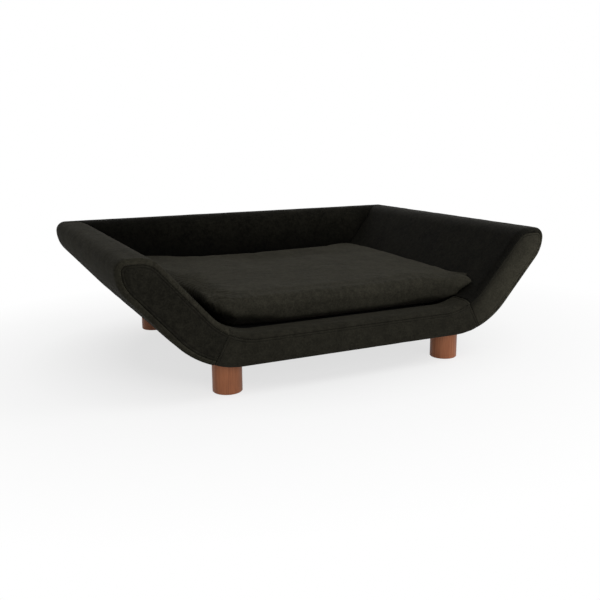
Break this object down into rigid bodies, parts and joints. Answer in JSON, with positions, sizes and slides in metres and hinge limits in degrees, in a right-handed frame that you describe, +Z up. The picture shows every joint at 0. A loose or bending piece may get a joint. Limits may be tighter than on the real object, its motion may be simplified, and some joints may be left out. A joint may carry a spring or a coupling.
{
  "type": "dog sofa bed",
  "caption": "Low upholstered pet sofa with flared rolled arms, a padded back, a low curved front rail, a loose zipped cushion and round wooden legs.",
  "frame": {"origin": "on the floor, under the middle of the bed's width and depth", "axes": "+X along the front towards the right arm as seen from the front, +Y from the front rail towards the back, +Z up"},
  "size_m": [0.808, 0.575, 0.241],
  "materials": {
    "velvet": "near-black short-nap velvet",
    "cushion_velvet": "near-black short-nap velvet",
    "platform_cloth": "plain woven black cloth",
    "dust_cloth": "spun-bonded black cloth",
    "foam": "upholstery foam",
    "wadding": "polyester wadding",
    "plywood": "bare plywood",
    "softwood": "planed softwood",
    "leg_wood": "reddish-brown stained and lacquered wood",
    "zinc_steel": "zinc plated",
    "yellow_steel": "yellow zinc plated",
    "zip_cloth": "black woven tape with nylon teeth",
    "zip_metal": "black enamel"
  },
  "bodies": {
    "root": {"front_former": "plywood", "inner_front_rail": "plywood", "rear_panel": "plywood", "base_panel": "plywood", "left_arm_inner_board": "plywood", "right_arm_inner_board": "plywood", "left_arm_outer_board": "plywood", "right_arm_outer_board": "plywood", "left_arm_top_rail": "softwood", "right_arm_top_rail": "softwood", "left_arm_rib": "plywood", "right_arm_rib": "plywood", "back_top_rail": "softwood", "front_base_cleat": "softwood", "rear_base_cleat": "softwood", "leg_blocks": "softwood", "tee_nuts": "zinc_steel", "hanger_bolts": "zinc_steel", "frame_screws": "yellow_steel", "front_left_leg": "leg_wood", "front_right_leg": "leg_wood", "rear_left_leg": "leg_wood", "rear_right_leg": "leg_wood", "front_wadding": "wadding", "rear_wadding": "wadding", "left_arm_foam": "foam", "right_arm_foam": "foam", "rail_foam": "foam", "back_foam": "foam", "front_face_panel": "velvet", "left_end_panel": "velvet", "right_end_panel": "velvet", "left_arm_cover": "velvet", "right_arm_cover": "velvet", "front_rail_cover": "velvet", "inside_back_cover": "velvet", "outside_back_panel": "velvet", "deck_cloth": "platform_cloth", "dust_cover": "dust_cloth"},
    "cushion": {"cushion_cover": "cushion_velvet", "cushion_core": "foam", "zip_tape": "zip_cloth"},
    "slider": {"zip_slider": "zip_metal"},
    "pull": {"zip_pull": "zip_metal"}
  },
  "joints": [
    {"name": "cushion_lift", "type": "slide", "parent": "root", "child": "cushion", "axis": [0, 0, 1], "range_m": [0, 0.16]},
    {"name": "zip_slide", "type": "slide", "parent": "cushion", "child": "slider", "axis": [-1, 0, 0], "range_m": [0, 0.2229]},
    {"name": "zip_pull_swing", "type": "hinge", "parent": "slider", "child": "pull", "pos_m": [0.1115, 0.1975, 0.1162], "axis": [0, 0, -1], "range_deg": [0, 170]}
  ]
}
